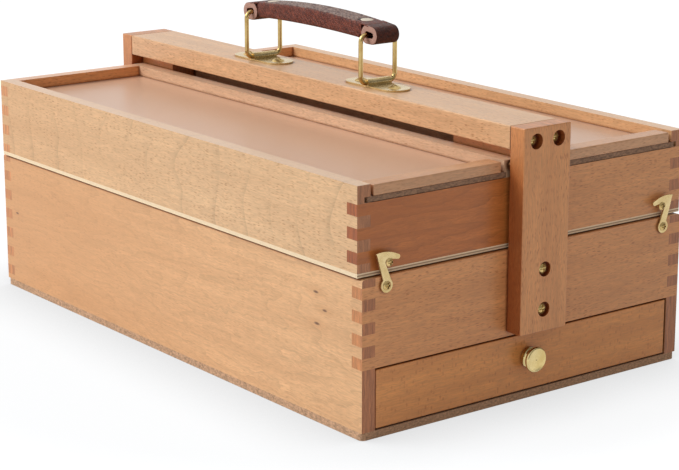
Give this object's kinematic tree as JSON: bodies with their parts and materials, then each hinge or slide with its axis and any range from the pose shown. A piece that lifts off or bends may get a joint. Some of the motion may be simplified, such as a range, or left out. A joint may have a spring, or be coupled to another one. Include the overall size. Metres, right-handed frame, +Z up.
{
  "type": "watercolour paint drawer box",
  "caption": "Wooden painting box with a drawer below, two hinged trays with sliding lids beside a carrying bar, brass hooks and a leather handle.",
  "frame": {"origin": "on the surface the box stands on, under the middle of the lower box", "axes": "+X across the box, +Y towards its back, +Z up; the drawer opens towards -Y"},
  "size_m": [0.273, 0.4666, 0.2264],
  "materials": {
    "beech": "clear satin varnish on pale steamed beech",
    "beech_front": "clear satin varnish on warmer beech",
    "ply_panel": "thin plywood, sanded",
    "fibre_panel": "thin fibre board, smooth, clear varnish",
    "base_board": "thin fibre board with dark edges",
    "brass": "polished and lacquered",
    "leather": "dark brown, waxed"
  },
  "bodies": {
    "carcass": {"lower_left_side": "beech", "lower_right_side": "beech", "lower_front_end": "beech", "lower_back_end": "beech", "base_panel": "base_board", "inner_shelf": "ply_panel", "front_upright": "beech", "back_upright": "beech", "upright_screws": "brass", "handle_bar": "beech", "front_spacer_block": "beech", "back_spacer_block": "beech", "hinge_pins": "brass", "hinge_washers": "brass", "hook_pivot_screws": "brass", "front_handle_plate": "brass", "back_handle_plate": "brass", "handle_plate_screws": "brass"},
    "drawer": {"drawer_front": "beech_front", "drawer_left_side": "beech", "drawer_right_side": "beech", "drawer_back": "beech", "drawer_bottom": "ply_panel", "drawer_knob": "brass", "drawer_knob_screw": "brass"},
    "front_loop": {"front_handle_loop": "brass"},
    "back_loop": {"back_handle_loop": "brass"},
    "grip": {"grip_strap": "leather", "grip_core": "leather"},
    "left_tray": {"left_tray_outer_side": "beech", "left_tray_inner_side": "beech", "left_tray_front_end": "beech", "left_tray_back_end": "beech", "left_tray_bottom": "ply_panel", "left_tray_catch_screws": "brass"},
    "left_lid": {"left_lid_panel": "fibre_panel", "left_lid_strip": "beech"},
    "front_left_hook_plate": {"front_left_hook": "brass"},
    "back_left_hook_plate": {"back_left_hook": "brass"},
    "right_tray": {"right_tray_outer_side": "beech", "right_tray_inner_side": "beech", "right_tray_front_end": "beech", "right_tray_back_end": "beech", "right_tray_bottom": "ply_panel", "right_tray_catch_screws": "brass"},
    "right_lid": {"right_lid_panel": "fibre_panel", "right_lid_strip": "beech"},
    "front_right_hook_plate": {"front_right_hook": "brass"},
    "back_right_hook_plate": {"back_right_hook": "brass"}
  },
  "joints": [
    {"name": "drawer_slide", "type": "slide", "parent": "carcass", "child": "drawer", "axis": [0, -1, 0], "range_m": [0, 0.4]},
    {"name": "left_tray_hinge", "type": "hinge", "parent": "carcass", "child": "left_tray", "pos_m": [-0.0163, 0, 0.1548], "axis": [0, 1, 0], "range_deg": [0, 40]},
    {"name": "left_lid_slide", "type": "slide", "parent": "left_tray", "child": "left_lid", "axis": [0, -1, 0], "range_m": [0, 0.4]},
    {"name": "front_left_hook_turn", "type": "hinge", "parent": "carcass", "child": "front_left_hook_plate", "pos_m": [-0.1173, -0.2209, 0.0956], "axis": [0, -1, 0], "range_deg": [0, 150]},
    {"name": "back_left_hook_turn", "type": "hinge", "parent": "carcass", "child": "back_left_hook_plate", "pos_m": [-0.1173, 0.2209, 0.0956], "axis": [0, -1, 0], "range_deg": [0, 150]},
    {"name": "right_tray_hinge", "type": "hinge", "parent": "carcass", "child": "right_tray", "pos_m": [0.0163, 0, 0.1548], "axis": [0, -1, 0], "range_deg": [0, 40]},
    {"name": "right_lid_slide", "type": "slide", "parent": "right_tray", "child": "right_lid", "axis": [0, -1, 0], "range_m": [0, 0.4]},
    {"name": "front_right_hook_turn", "type": "hinge", "parent": "carcass", "child": "front_right_hook_plate", "pos_m": [0.1173, -0.2209, 0.0956], "axis": [0, 1, 0], "range_deg": [0, 150]},
    {"name": "back_right_hook_turn", "type": "hinge", "parent": "carcass", "child": "back_right_hook_plate", "pos_m": [0.1173, 0.2209, 0.0956], "axis": [0, 1, 0], "range_deg": [0, 150]},
    {"name": "front_loop_fold", "type": "hinge", "parent": "carcass", "child": "front_loop", "pos_m": [0, -0.0639, 0.1834], "axis": [1, 0, 0], "range_deg": [-70, 70]},
    {"name": "back_loop_fold", "type": "hinge", "parent": "carcass", "child": "back_loop", "pos_m": [0, 0.0697, 0.1834], "axis": [1, 0, 0], "range_deg": [-70, 70]},
    {"name": "grip_fold", "type": "hinge", "parent": "front_loop", "child": "grip", "pos_m": [0, -0.0639, 0.2161], "axis": [1, 0, 0], "range_deg": [-70, 70]}
  ],
  "couplings": [
    {"joint": "back_loop_fold", "follows": "front_loop_fold", "ratio": 1},
    {"joint": "grip_fold", "follows": "front_loop_fold", "ratio": -1}
  ]
}
